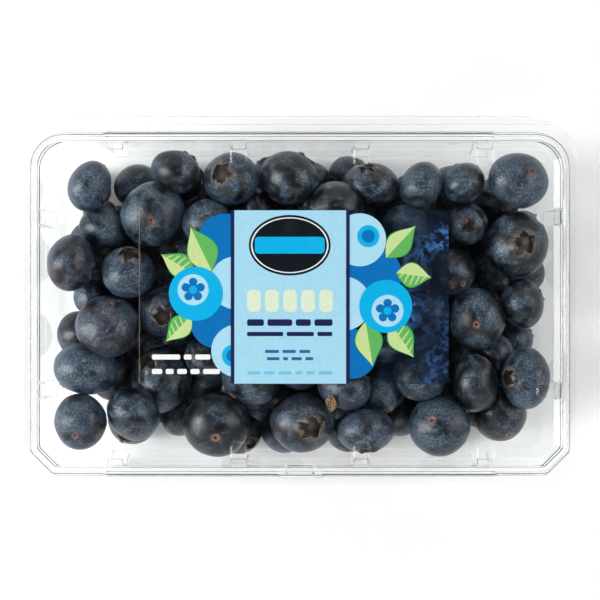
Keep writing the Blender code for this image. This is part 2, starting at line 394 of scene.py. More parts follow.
def range_node(tree, source, low, high, to_low=0.0, to_high=1.0):
    node = tree.nodes.new("ShaderNodeMapRange")
    node.interpolation_type = "SMOOTHSTEP"
    names = ("Value", "From Min", "From Max", "To Min", "To Max")
    for name, value in zip(names, (source, low, high, to_low, to_high)):
        feed(tree, value, node.inputs[name])
    return node.outputs["Result"]


def math_node(tree, operation, first, second):
    node = tree.nodes.new("ShaderNodeMath")
    node.operation = operation
    feed(tree, first, node.inputs[0])
    feed(tree, second, node.inputs[1])
    return node.outputs[0]


def mix_colour(tree, factor, first, second):
    """Mixes two colours, each a socket or a value."""
    node = tree.nodes.new("ShaderNodeMix")
    node.data_type = "RGBA"
    feed(tree, factor, node.inputs["Factor"])
    feed(tree, first, node.inputs[6])
    feed(tree, second, node.inputs[7])
    return node.outputs[2]


def add_bump(tree, shader, height, strength, distance):
    bump = tree.nodes.new("ShaderNodeBump")
    bump.inputs["Strength"].default_value = strength
    bump.inputs["Distance"].default_value = distance
    tree.links.new(height, bump.inputs["Height"])
    tree.links.new(bump.outputs["Normal"], shader.inputs["Normal"])


def bloom_group():
    """The waxy bloom: fine mottling, rubbed away in patches. Puts out how much bloom lies there."""
    group, given, made = new_group(
        "bloom",
        (
            ("Vector", "NodeSocketVector", (0.0, 0.0, 0.0)),
            ("Amount", "NodeSocketFloat", 0.5),
        ),
        (("Bloom", "NodeSocketFloat"), ("Grain", "NodeSocketFloat")),
    )
    place = given.outputs["Vector"]
    patches = noise_node(group, place, 165.0, 6.0, 0.68, 0.6)
    mottle = noise_node(group, place, 1300.0, 7.0, 0.8)
    grain = noise_node(group, place, 3200.0, 4.0, 0.7)
    low = math_node(group, "SUBTRACT", 0.60, math_node(group, "MULTIPLY", given.outputs["Amount"], 0.26))
    patchy = range_node(group, patches, low, math_node(group, "ADD", low, 0.17))
    mottled = range_node(group, mottle, 0.41, 0.61, 0.06, 1.0)
    fine = range_node(group, grain, 0.43, 0.57, 0.1, 1.0)
    bloom = math_node(group, "MULTIPLY", math_node(group, "MULTIPLY", patchy, mottled), fine)
    group.links.new(bloom, made.inputs["Bloom"])
    group.links.new(mottle, made.inputs["Grain"])
    return group


def handling_group():
    """Faint marks on clear sheet: changes of gloss, and a slow waviness of the formed surface."""
    group, given, made = new_group(
        "handling",
        (
            ("Roughness", "NodeSocketFloat", 0.05),
            ("Marks", "NodeSocketFloat", 0.04),
        ),
        (("Roughness", "NodeSocketFloat"), ("Height", "NodeSocketFloat")),
    )
    place = object_place(group)
    smears = noise_node(group, place, 45.0, 3.0, 0.6, 1.2)
    waves = noise_node(group, place, 60.0, 1.0, 0.4)
    added = math_node(group, "MULTIPLY", range_node(group, smears, 0.5, 0.75), given.outputs["Marks"])
    rough = math_node(group, "ADD", given.outputs["Roughness"], added)
    group.links.new(rough, made.inputs["Roughness"])
    group.links.new(waves, made.inputs["Height"])
    return group


def shared_group(build):
    """The node group that build makes, made once."""
    name = build.__name__.removesuffix("_group")
    return bpy.data.node_groups.get(name) or build()


# ---------------------------------------------------------------------------------------------
# Materials


def new_material(name):
    material = bpy.data.materials.new(name)
    material.use_nodes = True
    return material, material.node_tree, material.node_tree.nodes["Principled BSDF"]


def place_group(tree, build):
    node = tree.nodes.new("ShaderNodeGroup")
    node.node_tree = shared_group(build)
    return node


def clear_sheet_material(name, marks, wave_height):
    """Clear formed sheet. Lamps reach through it, so that it lights what it holds."""
    settings = bpy.context.scene.punnet_shell
    material, tree, shader = new_material(name)
    shader.inputs["Base Color"].default_value = settings.tint
    shader.inputs["IOR"].default_value = CLEAR_IOR
    shader.inputs["Transmission Weight"].default_value = 1.0
    handling = place_group(tree, handling_group)
    handling.inputs["Roughness"].default_value = settings.roughness
    handling.inputs["Marks"].default_value = marks
    tree.links.new(handling.outputs["Roughness"], shader.inputs["Roughness"])
    add_bump(tree, shader, handling.outputs["Height"], 0.15, wave_height)
    path = tree.nodes.new("ShaderNodeLightPath")
    through = tree.nodes.new("ShaderNodeBsdfTransparent")
    mixed = tree.nodes.new("ShaderNodeMixShader")
    tree.links.new(path.outputs["Is Shadow Ray"], mixed.inputs["Fac"])
    tree.links.new(shader.outputs["BSDF"], mixed.inputs[1])
    tree.links.new(through.outputs["BSDF"], mixed.inputs[2])
    tree.links.new(mixed.outputs["Shader"], tree.nodes["Material Output"].inputs["Surface"])
    return material


def berry_material():
    """Dark skin with a mottled bloom, a dry crown and a corky stem scar, masked per vertex."""
    settings = bpy.context.scene.punnet_fruit
    material, tree, shader = new_material("blueberry_skin")

    def attribute(name):
        node = tree.nodes.new("ShaderNodeAttribute")
        node.attribute_name = name
        return node.outputs["Fac"]

    tint = attribute("tint")
    bloom = place_group(tree, bloom_group)
    tree.links.new(object_place(tree), bloom.inputs["Vector"])
    tree.links.new(tint, bloom.inputs["Amount"])
    redder = range_node(tree, attribute("blush"), 0.0, 1.0)
    skin = mix_colour(tree, redder, settings.skin, settings.ripe)
    skin = mix_colour(tree, bloom.outputs["Bloom"], skin, settings.bloom)
    skin = mix_colour(tree, attribute("crown"), skin, settings.crown)
    corky = mix_colour(tree, attribute("cork"), srgb(86, 36, 22), srgb(142, 112, 92))
    skin = mix_colour(tree, attribute("scar"), skin, corky)
    # Painted shade: the hollows of the crown and the stem scar are darkened, partly their own dark
    # colour.
    skin = mix_colour(tree, attribute("shaded_bowl"), skin, settings.shaded_bowl)
    tree.links.new(skin, shader.inputs["Base Color"])
    shader.inputs["Specular IOR Level"].default_value = 0.5
    rough = range_node(tree, bloom.outputs["Bloom"], 0.0, 1.0, 0.32, 0.58)
    tree.links.new(rough, shader.inputs["Roughness"])
    add_bump(tree, shader, bloom.outputs["Grain"], 0.25, 0.12 * MM)
    return material


def ink_material(name, colour):
    """Gloss print, a little uneven in tone."""
    material, tree, shader = new_material(name)
    tone = noise_node(tree, object_place(tree), 700.0)
    darker = tuple(part * 0.96 for part in colour[:3]) + (1.0,)
    mixed = mix_colour(tree, range_node(tree, tone, 0.35, 0.65), darker, colour)
    tree.links.new(mixed, shader.inputs["Base Color"])
    handling = place_group(tree, handling_group)
    handling.inputs["Roughness"].default_value = 0.32
    handling.inputs["Marks"].default_value = 0.12
    tree.links.new(handling.outputs["Roughness"], shader.inputs["Roughness"])
    return material


# The mottled print fades in from here to the label's right end.
HAZE_LEFT = 24 * MM


def haze_material():
    """A thin blue print of crowded round shapes that lets the fruit show through."""
    material, tree, shader = new_material("blue_haze")
    place = object_place(tree)
    blotch = noise_node(tree, place, 420.0, 8.0, 0.8)
    clumps = noise_node(tree, place, 60.0)
    rounds = tree.nodes.new("ShaderNodeTexVoronoi")
    rounds.inputs["Scale"].default_value = 62.0
    tree.links.new(place, rounds.inputs["Vector"])
    rims = range_node(tree, rounds.outputs["Distance"], 0.30, 0.62)
    clumped = range_node(tree, clumps, 0.38, 0.60, 0.25, 1.0)
    bright = math_node(tree, "MULTIPLY", clumped, rims)
    bright = math_node(tree, "MULTIPLY", range_node(tree, blotch, 0.44, 0.62), bright)
    ink = mix_colour(tree, bright, srgb(12, 24, 46), srgb(70, 122, 190))
    tree.links.new(ink, shader.inputs["Base Color"])
    across = tree.nodes.new("ShaderNodeSeparateXYZ")
    tree.links.new(place, across.inputs[0])
    edge = range_node(tree, across.outputs["X"], HAZE_LEFT, HAZE_LEFT + 16 * MM)
    thick = math_node(tree, "ADD", math_node(tree, "MULTIPLY", bright, 0.6), 0.32)
    tree.links.new(math_node(tree, "MULTIPLY", thick, edge), shader.inputs["Alpha"])
    shader.inputs["Roughness"].default_value = 0.35
    return material


# ---------------------------------------------------------------------------------------------
# The shells


def stations(spots, width, flank, reach):
    """Places along a side: evenly spaced, and close together where a feature begins and ends."""
    found = set(round(place, 6) for place in evenly(-reach, reach, 25))
    for spot in spots:
        for edge in evenly(width / 2, width / 2 + flank, 5):
            found.update((round(spot - edge, 6), round(spot + edge, 6)))
    return sorted(place for place in found if abs(place) <= reach)


def tray_shell():
    """The tray, from its flange's edge down over the ledge to its floor."""
    settings = bpy.context.scene.punnet_shell
    along = stations(VENTS_LONG, VENT_WIDTH, VENT_FLANK, 76 * MM)
    across = stations(VENTS_SHORT, VENT_WIDTH, VENT_FLANK, 43 * MM)
    profile = (
        (0.0, FLANGE_TOP - 0.5 * MM),
        (0.5 * MM, FLANGE_TOP),
        (3.1 * MM, FLANGE_TOP),
        (3.7 * MM, 23.6 * MM),
        (5.6 * MM, 22.6 * MM),
        (6.0 * MM, 20.9 * MM),
        (9.7 * MM, 4.9 * MM),
        (10.1 * MM, 3.2 * MM),
        (12.7 * MM, settings.sheet),
        (14.5 * MM, settings.sheet),
    )

    def ring_at(inset, height):
        fluted = 0.7 * MM * swell(height - 12.9 * MM, 14.0 * MM, 2.2 * MM)

        def shift(side, place):
            spots = VENTS_SHORT if side == "end" else VENTS_LONG
            return fluted * max(swell(place - spot, VENT_WIDTH, VENT_FLANK) for spot in spots)

        points = outline(inset, along, across, 1 if inset > 0 else 0, shift)
        return [(x, y, height) for x, y in points]

    rows = rounded_profile(profile, settings.edge_radius)
    return sheet_shell("tray_shell", rows, ring_at, settings.sheet)


def latch_button():
    """The block that stands on the tray's front ledge and snaps into the lid, narrower at its top."""
    low, high = 23.4 * MM, 31.0 * MM

    def build(bm):
        rows = []
        for height, grown in ((low, 0.0), (high - 0.8 * MM, -0.7 * MM), (high, -1.4 * MM)):
            half_x = 5.5 * MM + grown
            half_y = 1.5 * MM + grown * 0.45
            points = bar(-half_x, half_x, -half_y, half_y, min(1.2 * MM, half_y * 0.9))
            rows.append([bm.verts.new((x, y, height)) for x, y in points])
        close_loft(bm, rows)
        bmesh.ops.translate(bm, vec=(0.0, TRAY_LOW.y + 4.9 * MM, 0.0), verts=bm.verts)

    button = new_mesh("latch_button", build)
    button.data.set_sharp_from_angle(angle=math.radians(40))
    return button


def tongue(x, y):
    """How much of a vent's raised tongue lies here: a strip in from the rim with a round end."""
    from_side = HALF_DEPTH - abs(y)
    from_end = HALF_LENGTH - abs(x)
    root = 12.5 * MM
    found = 0.0
    for spots, place, inset in ((VENTS_LONG, x, from_side), (VENTS_SHORT, y, from_end)):
        for spot in spots:
            reach = math.hypot(place - spot, max(0.0, inset - root))
            found = max(found, swell(reach, VENT_WIDTH - 0.6 * MM, 0.6 * MM))
    return found * smoothstep((min(from_side, from_end) - 7.6 * MM) / (1.2 * MM))


def lid_shell():
    """The lid, from its flange's edge up over the rim and down to its panel."""
    settings = bpy.context.scene.punnet_shell
    latch = stations((0.0,), LATCH_WIDTH, LATCH_FLANK, 64 * MM)
    vents = stations(VENTS_LONG, VENT_WIDTH - 1.8 * MM, 1.5 * MM, 64 * MM)
    along = sorted(set(latch + vents + [-66.5 * MM, -65.5 * MM, 65.5 * MM, 66.5 * MM]))
    across = stations(VENTS_SHORT, VENT_WIDTH - 1.8 * MM, 1.5 * MM, 42 * MM)
    foot = FLANGE_TOP + FLANGE_GAP + settings.sheet
    profile = (
        (0.0, foot),
        (3.0 * MM, foot),
        (4.1 * MM, 36.7 * MM),
        (4.8 * MM, RIM_TOP),
        (6.4 * MM, RIM_TOP),
        (9.2 * MM, PANEL_TOP),
        (12.0 * MM, PANEL_TOP),
    )
    rows = rounded_profile(profile, settings.edge_radius)
    rows += [(inset * MM, PANEL_TOP) for inset in (12.6, 13.2, 13.8, 14.3, 14.7, 15.1, 15.5)]

    def ring_at(inset, height):
        part = 1.0 - smoothstep((height - 35.0 * MM) / (2.5 * MM)) if 0 < inset < 5 * MM else 0.0

        def bulge(side, place):
            if side == "end":
                return 0.0
            out = 0.6 * MM * swell(place, 128 * MM, 2.4 * MM)
            if side == "front":
                out = max(out, 1.2 * MM * swell(place, LATCH_WIDTH, LATCH_FLANK))
            return out * part

        lift = 0.8 * MM if height < RIM_TOP - 0.9 * MM else 0.0
        points = outline(inset, along, across, 1 if inset > 0 else 0, bulge)
        return [(x, y, height + lift * tongue(x, y)) for x, y in points]

    return sheet_shell("lid_shell", rows, ring_at, settings.sheet)


def vent_slots(bm):
    """Slots through the inner slope of the lid's rim, with rounded ends."""
    middle = 7.8 * MM
    spots = [((x, side * (HALF_DEPTH - middle)), 0.0) for x in VENTS_LONG for side in (-1, 1)]
    spots += [((side * (HALF_LENGTH - middle), y), math.pi / 2) for y in VENTS_SHORT for side in (-1, 1)]
    for (x, y), turn in spots:
        made = bmesh.ops.create_cube(bm, size=1.0)["verts"]
        bmesh.ops.scale(bm, vec=(VENT_WIDTH, 2.2 * MM, 8 * MM), verts=made)
        matrix = Matrix.Translation((x, y + MIDDLE_Y, PANEL_TOP)) @ Matrix.Rotation(turn, 4, "Z")
        bmesh.ops.transform(bm, matrix=matrix, verts=made)
    upright = [e for e in bm.edges if abs(e.verts[0].co.z - e.verts[1].co.z) > 4 * MM]
    bmesh.ops.bevel(bm, geom=upright, offset=0.5 * MM, segments=3, profile=0.5, affect="EDGES")


class PUNNET_OT_tray(bpy.types.Operator):
    """Build the clear lower shell with its flutes, ledge and latch button."""

    bl_idname = "punnet.tray"
    bl_label = "Tray"

    def execute(self, context):
        sheet = clear_sheet_material("tray_sheet", 0.025, 0.10 * MM)
        for piece in (tray_shell(), latch_button()):
            piece.data.materials.append(sheet)
            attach(piece, "tray")
            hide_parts("tray")
        return {"FINISHED"}


class PUNNET_OT_lid(bpy.types.Operator):
    """Build the clear lid with its stacking rim, vent slots and sunk panel."""

    bl_idname = "punnet.lid"
    bl_label = "Lid"

    def execute(self, context):
        lid = lid_shell()
        carve(lid, vent_slots)
        lid.data.materials.append(clear_sheet_material("lid_sheet", 0.02, 0.10 * MM))
        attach(lid, "lid")
        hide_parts("lid")
        return {"FINISHED"}


def fold_section(thickness):
    """The folded edge in section, as (y, z): out from the tray's flange, round, and back to the lid's."""
    arc = [-math.pi / 2 + math.pi * step / 12 for step in range(13)]
    start = TRAY_HIGH.y - 0.2 * MM

    def path(radius, depth):
        points = [(start, FLANGE_TOP - depth - 0.05 * MM)]
        points += [(HINGE_Y + radius * math.cos(a), HINGE_Z + radius * math.sin(a)) for a in arc]
        return points + [(start, FLANGE_TOP + FLANGE_GAP + depth + 0.05 * MM)]

    return path(HINGE_RADIUS, thickness) + path(HINGE_RADIUS - thickness, 0.0)[::-1]


class PUNNET_OT_hinge(bpy.types.Operator):
    """Build the folded edge that joins the lid to the tray."""

    bl_idname = "punnet.hinge"
    bl_label = "Hinge Fold"

    def execute(self, context):
        section = fold_section(0.35 * MM)
        half = (HINGE_HIGH.x - HINGE_LOW.x) / 2
        rows = evenly(-half, half, 25)

        def build(bm):
            rings = []
            for x in rows:
                close = min(half - abs(x), 6 * MM) / (6 * MM)
                pull = (1 - math.sqrt(max(0.0, 1 - (1 - close) ** 2))) * 0.8
                ring = []
                for y, z in section:
                    reach = max(0.0, y - TRAY_HIGH.y)
                    ring.append(bm.verts.new((x, y - reach * pull, z)))
                rings.append(ring)
            close_loft(bm, rings)

        fold = new_mesh("hinge_fold", build)
        fold.data.set_sharp_from_angle(angle=math.radians(50))
        fold.data.materials.append(clear_sheet_material("hinge_sheet", 0.1, 0.10 * MM))
        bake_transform(fold)
        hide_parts("hinge")
        return {"FINISHED"}


# ---------------------------------------------------------------------------------------------
# The label


def flat_shape(bm, points, low, thickness):
    """A thin closed tile over a flat outline given counterclockwise as (x, y)."""
    lower = [bm.verts.new((x, y, low)) for x, y in points]
    upper = [bm.verts.new((x, y, low + thickness)) for x, y in points]
    bm.faces.new(upper)
    bm.faces.new(lower[::-1])
    join_rings(bm, [lower, upper])


def disc(x, y, radius, squash=1.0, count=56):
    turns = [2 * math.pi * step / count for step in range(count)]
    return [(x + radius * math.cos(turn), y + radius * squash * math.sin(turn)) for turn in turns]


def bar(left, right, low, high, radius=0.0, count=5):
    """A rectangle with round corners."""
    if radius == 0.0:
        return [(left, low), (right, low), (right, high), (left, high)]
    points = quarter(right - radius, low + radius, radius, -math.pi / 2, count)
    points += quarter(right - radius, high - radius, radius, 0, count)
    points += quarter(left + radius, high - radius, radius, math.pi / 2, count)
    points += quarter(left + radius, low + radius, radius, math.pi, count)
    return points


def leaf_half(tip, base, width, side, count=12):
    """One half of a pointed leaf, between its midrib and its curved edge."""
    tip_v = Vector(tip)
    rib = Vector(base) - tip_v
    out = Vector((-rib.y, rib.x)).normalized() * width * side
    edge = []
    for step in range(count + 1):
        part = step / count
        edge.append(tip_v + rib * part + out * math.sin(math.pi * part**1.25))
    points = [(point.x, point.y) for point in edge]
    return points if side < 0 else points[::-1]


def leaf_veins(tip, base, width, side, count=5):
    """Slanting stripes across one half of a leaf."""
    tip_v = Vector(tip)
    rib = Vector(base) - tip_v
    out = Vector((-rib.y, rib.x)).normalized() * width * side
    stripes = []
    for step in range(count):
        part = 0.16 + 0.62 * step / (count - 1)
        reach = 0.84 * math.sin(math.pi * min(part + 0.1, 1.0) ** 1.25)
        root = tip_v + rib * part
        end = tip_v + rib * (part + 0.1) + out * reach
        along = rib.normalized() * 0.62 * MM
        points = [root, root + along, end + along * 0.6, end]
        flat = [(point.x, point.y) for point in points]
        stripes.append(flat if side > 0 else flat[::-1])
    return stripes


# Discs as (x, y, radius) in millimetres from the middle of the punnet, from the lowest up.
BLUE_DISCS = ((-25.0, 19.7, 9.0), (-27.3, -6.9, 9.3), (24.8, 8.4, 9.0), (17.2, -17.9, 8.3))
PALE_DISCS = ((-21.3, 5.7, 8.8), (-20.7, -16.9, 8.8), (19.8, 20.0, 8.8), (14.5, -1.2, 9.0))
CYAN_DISCS = ((-34.6, 2.1, 9.0), (28.5, -2.1, 8.8))
# Each heart carries a flower with a round middle.
HEARTS = ((-35.5, 3.4, 5.15), (29.1, -3.6, 5.3))
EYES = ((-22.3, -18.5), (22.7, 21.2))
PLAQUE = (-3.4, 18.2)
# Leaves as (tip, base, half width, side of the darker half, whether that half is striped).
LEAVES = (
    ((-36.4, 24.3), (-29.3, 9.6), 5.0, 1, False),
    ((-46.2, 15.2), (-35.0, 8.6), 3.8, 1, True),
    ((-44.6, -13.8), (-36.0, -5.0), 3.6, 1, True),
    ((38.4, 24.6), (28.6, 14.0), 4.0, 1, False),
    ((43.7, 7.4), (32.0, 9.0), 4.0, 1, True),
    ((24.2, -22.1), (21.8, -7.0), 4.4, -1, False),
    ((37.8, -19.1), (30.0, -7.4), 4.2, -1, True),
)


def flower(x, y, count=60):
    """A five-petalled outline."""
    points = []
    for step in range(count):
        turn = 2 * math.pi * step / count
        reach = (1.9 + 2.1 * abs(math.cos(2.5 * (turn - math.pi / 2))) ** 0.55) * MM
        points.append((x + reach * math.cos(turn), y + reach * math.sin(turn)))
    return points


def millimetres(*values):
    return tuple(value * MM for value in values)


def disc_at(x, y, radius, squash=1.0):
    """A disc given in millimetres."""
    return disc(x * MM, y * MM, radius * MM, squash)


def discs_at(rows):
    return [disc_at(*row) for row in rows]


def bar_at(*sides):
    """A bar given in millimetres."""
    return bar(*millimetres(*sides))


def words(left, low, height, *lengths):
    """A row of plain round-ended bars, one for each length."""
    bars = []
    for length in lengths:
        bars.append(bar_at(left, left + length, low, low + height, height * 0.3))
        left += length + 1.2
    return bars


def build_prints(settings, low):
    """Every printed field as (name, colour, layer, outlines)."""
    top = LABEL_HIGH.y - 0.2 * MM
    bottom = LABEL_LOW.y + 0.2 * MM
    light, mid, veins, edges = [], [], [], []
    for tip, base, width, side, striped in LEAVES:
        place = (millimetres(*tip), millimetres(*base), width * MM)
        edges += [leaf_half(*place[:2], (width + 0.35) * MM, turn) for turn in (-1, 1)]
        light.append(leaf_half(*place, -side))
        mid.append(leaf_half(*place, side))
        if striped:
            veins += leaf_veins(*place, side)
    eyes = [disc_at(x, y, 3.65) for x, y in EYES]
    pupils = [disc_at(x, y, 2.15) for x, y in EYES]
    petals = [flower(x * MM, y * MM) for x, y, _ in HEARTS]
    dots = [disc_at(x, y, 1.35) for x, y, _ in HEARTS]
    stripes = [bar(*millimetres(-23.0, -21.8), bottom, top), bar(*millimetres(15.3, 16.5), bottom, top)]
    heads = words(-17.6, -8.6, 2.2, 5.6, 8.2, 5.0, 6.0) + words(-17.6, -12.0, 1.4, 12.0, 9.0, 4.9)
    blocks = [bar_at(left, left + 4.6, -4.0, 3.4, 1.6) for left in (-17.6, -11.6, -5.6, 0.4, 6.4)]
    edge = LABEL_LOW.x + 0.15 * MM
    weights = words(-49.2, -19.8, 1.7, 9.4, 2.6, 5.0) + words(-49.2, -24.6, 1.7, 3.4, 2.6, 3.2, 3.0, 5.6)
    notes = words(-11.6, -17.6, 1.0, 4.6, 4.4, 3.6) + words(-11.0, -20.0, 1.0, 4.2, 1.6, 3.4, 2.6)
    return (
        ("print_blue", settings.blue, 1, discs_at(BLUE_DISCS)),
        ("print_pale", settings.pale, 2, discs_at(PALE_DISCS)),
        ("print_leaf_edges", settings.leaf_dark, 3, edges),
        ("print_leaf_light", settings.leaf_light, 4, light),
        ("print_leaf_mid", settings.leaf_mid, 4, mid),
        ("print_leaf_veins", settings.leaf_light, 5, veins),
        ("print_cyan", settings.cyan, 6, discs_at(CYAN_DISCS) + eyes),
        ("print_hearts", settings.pale, 7, discs_at(HEARTS)),
        ("print_petals", settings.blue, 8, petals + pupils),
        ("print_dots", settings.cyan, 9, dots),
        ("print_panel", settings.panel, 10, [bar(*millimetres(-21.8, 15.3), bottom, top)]),
        ("print_stripes", settings.navy, 10, stripes),
        ("print_plaque", settings.ink, 11, [disc_at(*PLAQUE, 13.6, 0.74)]),
        ("print_band", settings.cyan, 14, [bar_at(-15.0, 8.2, 15.4, 21.0, 1.2)]),
        ("print_cream", settings.cream, 11, blocks),
        ("print_ring", srgb(236, 240, 242), 12, [disc_at(*PLAQUE, 12.9, 0.72)]),
        ("print_plate", settings.ink, 13, [disc_at(*PLAQUE, 12.4, 0.72)]),
        # Painted line: the thin brown line that light makes at the clear film's cut edge is laid on as a
        # bar.
        ("painted_edge_line", srgb(134, 118, 106), 11, [bar(edge, edge + 0.15 * MM, bottom, top)]),
        ("print_heads", settings.navy, 11, heads),
        ("print_notes", srgb(24, 106, 156), 11, notes),
        ("print_line", srgb(110, 196, 226), 11, words(-17.4, -24.7, 1.0, 4.2, 3.6, 4.4, 2.4, 3.0, 4.6)),
        ("print_white", srgb(244, 244, 244), 9, weights),
    )


def label_tile(name, left, low, thickness, material):
    """A thin tile with the label's round corners, from this left edge to the label's right one."""
    points = bar(left, LABEL_HIGH.x, LABEL_LOW.y, LABEL_HIGH.y, LABEL_CORNER)
    tile = new_mesh(name, lambda bm: flat_shape(bm, points, low, thickness), smooth=False)
    tile.data.materials.append(material)
    return tile


class PUNNET_OT_label(bpy.types.Operator):
    """Build the clear label film and the fields of colour printed on it."""

    bl_idname = "punnet.label"
    bl_label = "Label"

    def execute(self, context):
        low = PANEL_TOP + 0.03 * MM
        film_thickness = 0.06 * MM
        step = 0.012 * MM
        clear = clear_sheet_material("label_film", 0.02, 0.02 * MM)
        film = label_tile("label_film", LABEL_LOW.x, low, film_thickness, clear)
        top = low + film_thickness
        haze = label_tile("print_haze", HAZE_LEFT, top + 0.004 * MM, step / 3, haze_material())
        pieces = [film, haze]
        for name, colour, layer, outlines in build_prints(context.scene.punnet_label, top):

            def build(bm, outlines=outlines, layer=layer):
                for points in outlines:
                    flat_shape(bm, points, top + layer * step, step / 2)

            piece = new_mesh(name, build, smooth=False)
            piece.data.materials.append(ink_material(name, tuple(colour)))
            pieces.append(piece)
        for piece in pieces:
            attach(piece, "lid")
        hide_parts("label")
        return {"FINISHED"}


# ---------------------------------------------------------------------------------------------
# The berries

# The upper berries as they lie: x, y, half width, half depth, how far the top lies below the lid,
# the end that shows (a star is a crown whose lobes lean in), and where its middle lies from the
# berry's middle. Millimetres.
UPPER_BERRIES = (
    (-71.0, 38.5, 7.5, 8.6, 3.0, "side", (7, -5)),
    (-55.9, 39.2, 7.9, 7.8, 13.0, "side", (3, -7)),
    (-41.7, 43.1, 8.5, 7.4, 0.5, "side", (5, 6)),
    (-23.1, 40.7, 9.6, 9.1, 0.5, "star", (-3.0, 1.9)),
    (-3.4, 40.8, 9.9, 9.4, 0.0, "side", (5, 6)),
    (11.3, 31.3, 11.4, 8.7, 2.0, "side", (-7, 2)),
    (23.8, 38.4, 9.9, 8.0, 4.0, "crown", (-1.2, 7.0)),
    (40.8, 38.8, 7.2, 7.9, 1.5, "side", (4, -7)),
    (55.1, 39.3, 7.0, 6.9, 2.0, "side", (-4, 5)),
    (73.5, 40.3, 10.2, 9.6, 0.0, "stem", (4.2, 3.4)),
    (67.0, 33.8, 8.0, 8.0, 12.0, "side", (-4, -3)),
    (-49.5, 28.9, 11.0, 11.0, 0.0, "stem", (-0.2, -3.0)),
    (-66.3, 24.5, 8.9, 7.5, 9.0, "side", (2, 5)),
    (-77.1, 12.5, 8.7, 9.6, 2.0, "side", (6, -2)),
    (-57.9, 9.3, 9.2, 8.8, 4.0, "star", (0.6, 7.0)),
    (-46.6, -3.9, 8.3, 8.3, 9.0, "star", (0.6, -1.8)),
    (-64.7, -8.9, 11.1, 10.5, 0.0, "stem", (1.4, 8.2)),
    (-72.5, -23.3, 10.7, 8.9, 5.0, "side", (4, 4)),
    (-47.3, -27.0, 10.9, 11.4, 0.5, "crown", (-4.7, 7.0)),
    (-73.8, -40.9, 8.9, 9.5, 3.0, "stem", (-1.4, -4.6)),
    (-55.9, -38.3, 9.1, 9.1, 6.0, "side", (3, 6)),
    (-28.3, -41.9, 11.4, 11.0, 0.0, "stem", (0.2, -4.4)),
    (-16.9, -26.8, 9.7, 8.7, 3.0, "side", (5, 5)),
    (0.9, -41.2, 11.1, 10.2, 0.0, "star", (3.2, -1.6)),
    (15.0, -29.5, 9.1, 7.7, 6.0, "side", (5, 5)),
    (22.1, -43.9, 9.7, 7.9, 1.5, "crown", (1.2, -8.2)),
    (40.2, -25.5, 9.4, 9.1, 4.0, "side", (3, 6)),
    (47.0, -42.4, 10.4, 10.3, 0.0, "stem", (-3.4, 2.7)),
    (58.9, -27.8, 7.8, 10.1, 2.0, "side", (-5, -8)),
    (59.6, -6.4, 9.6, 10.5, 0.0, "stem", (-1.0, -2.2)),
    (75.9, -26.2, 8.2, 10.5, 0.5, "crown", (-7.6, 0.4)),
    (75.1, -1.2, 7.8, 8.5, 5.0, "side", (5, 3)),
    (73.1, 18.7, 10.8, 11.4, 0.0, "star", (1.9, 0.2)),
    (56.4, 25.6, 6.9, 7.0, 4.0, "stem", (-1.2, 1.2)),
    (36.0, 24.3, 8.3, 8.3, 4.0, "side", (3, 5)),
)
# Lower berries that show between the upper ones, as x, y, half width.
LOWER_SHOWN = (
    (3.6, 41.0, 7.0), (-38.4, 18.2, 6.9), (-71.3, 1.4, 6.5), (-40.4, -39.6, 7.2),
    (-14.6, 31.0, 7.4), (33.6, -38.9, 7.9), (68.0, -38.9, 9.2), (74.0, -13.5, 6.3),
    (51.2, 9.2, 8.0), (64.0, 11.5, 7.2),
)
# Places where the floor shows between berries, kept free of lower ones.
GAPS = (
    (-63.6, 34.0), (-66.5, -35.0), (-64.3, -45.0), (-46.0, -46.5), (-13.3, -46.0),
    (11.8, -50.0), (33.4, -50.5), (58.6, -45.0), (-50.5, 46.0), (-32.6, 46.5),
    (-13.4, 47.5), (11.6, 46.0), (33.4, 45.5), (47.8, 44.0), (62.0, 45.0),
    (-79.0, -5.5), (-77.5, 27.0), (-80.0, -33.0), (79.5, -13.0), (84.0, 8.0),
    (84.0, 30.0),
)


# The tray's wall leans out by this much for each metre of height, and this is its angle's cosine.
WALL_LEAN = 0.2313
WALL_COSINE = 0.974


class Berry:
    """One berry: middle, half sizes, which way its crown points and how far its lobes lean out."""

    def __init__(self, middle, half, crown_way, lean, placed, crown_size=1.0):
        self.middle = middle
        self.half = half
        self.crown_way = crown_way
        self.crown_size = crown_size
        self.lean = lean
        self.placed = placed

    @property
    def radius(self):
        return (self.half.x + self.half.y) / 2


def crown_way(end, offset, radius, rng):
    """The direction of a berry's crown, from where its crown or its stem scar shows."""
    x, y = offset
    if end == "side":
        turn = math.atan2(y, x)
        return Vector((math.cos(turn), math.sin(turn), rng.uniform(-0.35, 0.1))).normalized()
    rise = math.sqrt(max(0.05, 1 - (x * x + y * y) / (radius * radius)))
    way = Vector((x / radius, y / radius, rise)).normalized()
    return -way if end == "stem" else way


def any_way(rng):
    turn = rng.uniform(0, 2 * math.pi)
    rise = rng.uniform(-0.8, 0.8)
    flat = math.sqrt(1 - rise * rise)
    return Vector((flat * math.cos(turn), flat * math.sin(turn), rise))


def tray_room(x, y, z):
    """How far a point is from the walls, level by level: they lean out from the tray's foot up."""
    inset = max(9.7 * MM - WALL_LEAN * (z - 4.9 * MM), 5.4 * MM)
    from_end = HALF_LENGTH - inset - abs(x)
    from_side = HALF_DEPTH - inset - abs(y - MIDDLE_Y)
    from_corner = (from_end + from_side - FRONT_CUT) / math.sqrt(2)
    return min(from_end, from_side, from_corner) * WALL_COSINE


